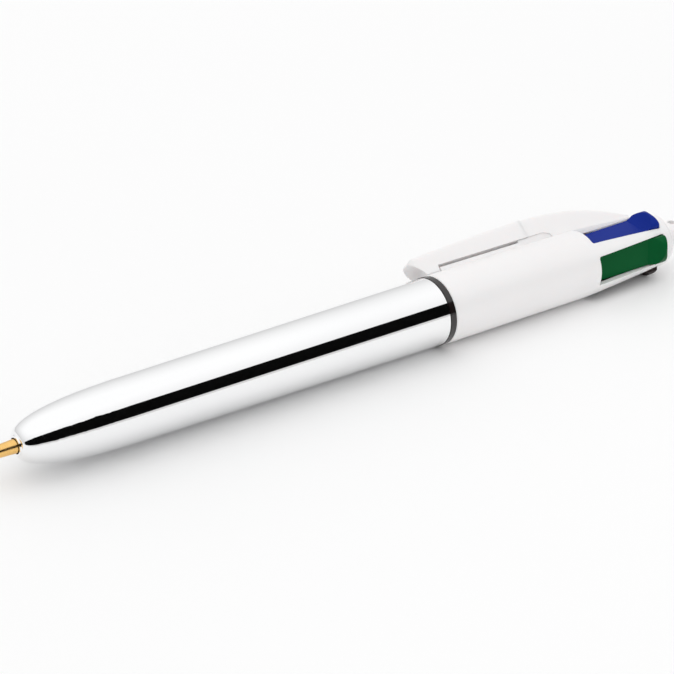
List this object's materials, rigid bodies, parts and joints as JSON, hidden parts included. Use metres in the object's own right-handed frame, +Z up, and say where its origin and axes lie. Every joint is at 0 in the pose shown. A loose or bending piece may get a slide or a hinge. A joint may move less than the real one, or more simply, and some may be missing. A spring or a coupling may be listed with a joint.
{
  "type": "multicolor click pen",
  "caption": "Retractable ballpoint with a plated lower barrel, a white upper barrel with a clip, and sprung colour sliders that each push out a refill.",
  "frame": {"origin": "middle of the bounding box, on the surface that the pen lies on", "axes": "+X from the writing tip towards the end cap along the pen's axis, +Z up with the pen lying on its round side, +Y towards the side that the clip leans to"},
  "size_m": [0.1511, 0.0164, 0.0143],
  "materials": {
    "plated_shell": "mirror-bright plating on a moulded shell",
    "dark_ring": "glossy smoky black",
    "white_shell": "smooth gloss white moulding",
    "inner_plastic": "plain natural moulding, hidden inside",
    "spring_steel": "drawn wire",
    "tip_brass": "turned and polished",
    "ball_steel": "polished ball",
    "red_plastic": "smooth satin-gloss moulding",
    "red_ink_tube": "cloudy tube over ink, hidden inside",
    "blue_plastic": "smooth satin-gloss moulding",
    "blue_ink_tube": "cloudy tube over ink, hidden inside",
    "green_plastic": "smooth satin-gloss moulding",
    "green_ink_tube": "cloudy tube over ink, hidden inside",
    "black_plastic": "smooth satin-gloss moulding",
    "black_ink_tube": "cloudy tube over ink, hidden inside"
  },
  "bodies": {
    "upper_body": {"upper_barrel": "white_shell", "spring_plate": "inner_plastic", "guide_core": "inner_plastic", "end_cap": "white_shell", "red_spring": "spring_steel", "blue_spring": "spring_steel", "green_spring": "spring_steel", "black_spring": "spring_steel"},
    "clip_arm": {"clip": "white_shell"},
    "ring": {"joint_ring": "dark_ring"},
    "lower_body": {"lower_barrel": "plated_shell"},
    "red_slider_body": {"red_slider": "red_plastic"},
    "red_refill": {"red_refill_tube": "red_ink_tube", "red_refill_tip": "tip_brass", "red_writing_ball": "ball_steel"},
    "blue_slider_body": {"blue_slider": "blue_plastic"},
    "blue_refill": {"blue_refill_tube": "blue_ink_tube", "blue_refill_tip": "tip_brass", "blue_writing_ball": "ball_steel"},
    "green_slider_body": {"green_slider": "green_plastic"},
    "green_refill": {"green_refill_tube": "green_ink_tube", "green_refill_tip": "tip_brass", "green_writing_ball": "ball_steel"},
    "black_slider_body": {"black_slider": "black_plastic"},
    "black_refill": {"black_refill_tube": "black_ink_tube", "black_refill_tip": "tip_brass", "black_writing_ball": "ball_steel"}
  },
  "joints": [
    {"name": "red_slide", "type": "slide", "parent": "upper_body", "child": "red_slider_body", "axis": [-1, 0, 0], "range_m": [-0.01, 0], "deforming": ["red_spring"]},
    {"name": "red_refill_lean", "type": "hinge", "parent": "red_slider_body", "child": "red_refill", "pos_m": [0.0284, 0.00114, 0.00507], "axis": [0, 0.3987, 0.9171], "range_deg": [-1.54, 0], "deforming": ["red_refill_tube", "red_refill_tip", "red_writing_ball"]},
    {"name": "blue_slide", "type": "slide", "parent": "upper_body", "child": "blue_slider_body", "axis": [-1, 0, 0], "range_m": [0, 0.01], "stiffness_N_per_m": 100, "springref_m": -0.01, "deforming": ["blue_spring"]},
    {"name": "blue_refill_lean", "type": "hinge", "parent": "blue_slider_body", "child": "blue_refill", "pos_m": [0.0384, -0.0021, 0.00954], "axis": [0, -0.9954, -0.0958], "range_deg": [0, 1.54], "deforming": ["blue_refill_tube", "blue_refill_tip", "blue_writing_ball"]},
    {"name": "green_slide", "type": "slide", "parent": "upper_body", "child": "green_slider_body", "axis": [-1, 0, 0], "range_m": [0, 0.01], "stiffness_N_per_m": 100, "springref_m": -0.01, "deforming": ["green_spring"]},
    {"name": "green_refill_lean", "type": "hinge", "parent": "green_slider_body", "child": "green_refill", "pos_m": [0.0384, -0.00498, 0.00668], "axis": [0, -0.1045, -0.9945], "range_deg": [0, 1.54], "deforming": ["green_refill_tube", "green_refill_tip", "green_writing_ball"]},
    {"name": "black_slide", "type": "slide", "parent": "upper_body", "child": "black_slider_body", "axis": [-1, 0, 0], "range_m": [0, 0.01], "stiffness_N_per_m": 100, "springref_m": -0.01, "deforming": ["black_spring"]},
    {"name": "black_refill_lean", "type": "hinge", "parent": "black_slider_body", "child": "black_refill", "pos_m": [0.0384, -0.00246, 0.00322], "axis": [0, 0.9781, -0.2079], "range_deg": [0, 1.54], "deforming": ["black_refill_tube", "black_refill_tip", "black_writing_ball"]},
    {"name": "lower_barrel_advance", "type": "slide", "parent": "upper_body", "child": "ring", "axis": [-1, 0, 0], "range_m": [0, 0.006]},
    {"name": "lower_barrel_turn", "type": "hinge", "parent": "ring", "child": "lower_body", "pos_m": [0.0094, -0.0018, 0.00635], "axis": [-1, 0, 0], "range_deg": [0, 1440.5]},
    {"name": "clip_flex", "type": "hinge", "parent": "upper_body", "child": "clip_arm", "pos_m": [0.0404, 0.00722, 0.0129], "axis": [0, 0.5878, -0.809], "range_deg": [0, 4], "stiffness_Nm_per_rad": 3}
  ],
  "couplings": [
    {"joint": "red_refill_lean", "follows": "red_slide", "rad_per_m": 2.6543},
    {"joint": "blue_refill_lean", "follows": "blue_slide", "rad_per_m": 2.6543},
    {"joint": "green_refill_lean", "follows": "green_slide", "rad_per_m": 2.6543},
    {"joint": "black_refill_lean", "follows": "black_slide", "rad_per_m": 2.6543},
    {"joint": "lower_barrel_turn", "follows": "lower_barrel_advance", "rad_per_m": 4188.8}
  ]
}
